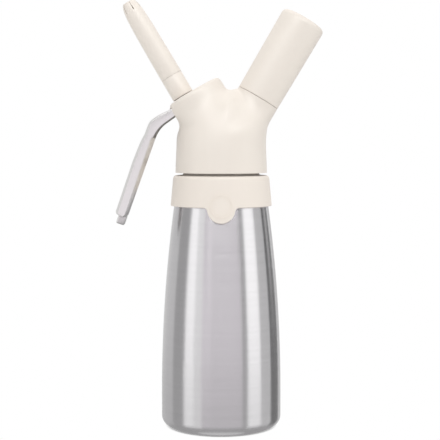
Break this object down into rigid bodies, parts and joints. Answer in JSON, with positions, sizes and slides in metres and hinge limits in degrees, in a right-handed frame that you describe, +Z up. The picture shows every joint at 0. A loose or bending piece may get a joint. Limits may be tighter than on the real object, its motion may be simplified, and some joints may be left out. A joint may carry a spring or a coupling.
{
  "type": "cream whipper",
  "caption": "Cream whipper: steel flask, cream-coloured Y-shaped head with squeeze lever, long decorator tip on the left arm and a gas charger holder on the right.",
  "frame": {"origin": "centre of the bottle's flat base, on the surface it stands on", "axes": "+Z up along the bottle's axis, +X towards the charger holder, -Y is the front with the collar's tab"},
  "size_m": [0.1379, 0.08, 0.2845],
  "materials": {
    "bottle_steel": "brushed",
    "lever_steel": "polished",
    "cream_plastic": "satin",
    "cream_silicone": "matt",
    "core_aluminium": "turned",
    "seal_silicone": "matt",
    "seal_rubber": "matt",
    "spring_steel": "drawn",
    "nipple_brass": "turned",
    "charger_steel": "plated"
  },
  "bodies": {
    "bottle": {"bottle": "bottle_steel", "collar": "cream_silicone"},
    "gasket": {"head_gasket": "seal_silicone"},
    "head": {"head_shell": "cream_plastic", "head_core": "core_aluminium", "stem_o_ring": "seal_rubber", "return_spring": "spring_steel", "pivot_pin": "lever_steel", "pin_clip_front": "spring_steel", "pin_clip_back": "spring_steel", "charger_nipple": "nipple_brass", "nipple_o_ring": "seal_rubber", "piercing_pin": "lever_steel", "charger_seal": "seal_rubber", "check_retainer": "nipple_brass", "check_spring": "spring_steel"},
    "lever": {"lever": "lever_steel"},
    "stem": {"valve_stem": "lever_steel", "plug_washer": "seal_rubber", "thrust_collar": "lever_steel", "stem_clip": "spring_steel", "tip_adapter": "cream_plastic"},
    "tip": {"decorator_tip": "cream_plastic"},
    "check_ball": {"check_ball": "spring_steel"},
    "charger": {"gas_charger": "charger_steel"},
    "holder": {"holder_shell": "cream_plastic", "holder_liner": "core_aluminium"}
  },
  "joints": [
    {"name": "head_rise", "type": "slide", "parent": "bottle", "child": "gasket", "axis": [0, 0, 1], "range_m": [0, 0.0201]},
    {"name": "head_turn", "type": "hinge", "parent": "gasket", "child": "head", "pos_m": [0, 0, 0.178], "axis": [0, 0, 1], "range_deg": [0, 1800]},
    {"name": "lever_squeeze", "type": "hinge", "parent": "head", "child": "lever", "pos_m": [-0.01131, 0, 0.22182], "axis": [0, -1, 0], "range_deg": [0, 11], "stiffness_Nm_per_rad": 1, "springref_deg": -17.19},
    {"name": "stem_slide", "type": "slide", "parent": "head", "child": "stem", "axis": [0.5075, 0, -0.8616], "range_m": [0, 0.0025], "deforming": ["return_spring"]},
    {"name": "tip_off", "type": "slide", "parent": "stem", "child": "tip", "axis": [-0.5075, 0, 0.8616], "range_m": [0, 0.015]},
    {"name": "check_ball_lift", "type": "slide", "parent": "head", "child": "check_ball", "axis": [-0.5075, 0, -0.8616], "range_m": [0, 0.001], "stiffness_N_per_m": 40, "springref_m": -0.004, "deforming": ["check_spring"]},
    {"name": "charger_rise", "type": "slide", "parent": "head", "child": "charger", "axis": [0.5075, 0, 0.8616], "range_m": [0, 0.0121]},
    {"name": "holder_turn", "type": "hinge", "parent": "charger", "child": "holder", "pos_m": [0.02527, 0, 0.22091], "axis": [0.5075, 0, 0.8616], "range_deg": [0, 2160]}
  ],
  "couplings": [
    {"joint": "head_rise", "follows": "head_turn", "m_per_rad": 0.00063662},
    {"joint": "stem_slide", "follows": "lever_squeeze", "m_per_rad": 0.0125},
    {"joint": "charger_rise", "follows": "holder_turn", "m_per_rad": 0.00031831}
  ]
}
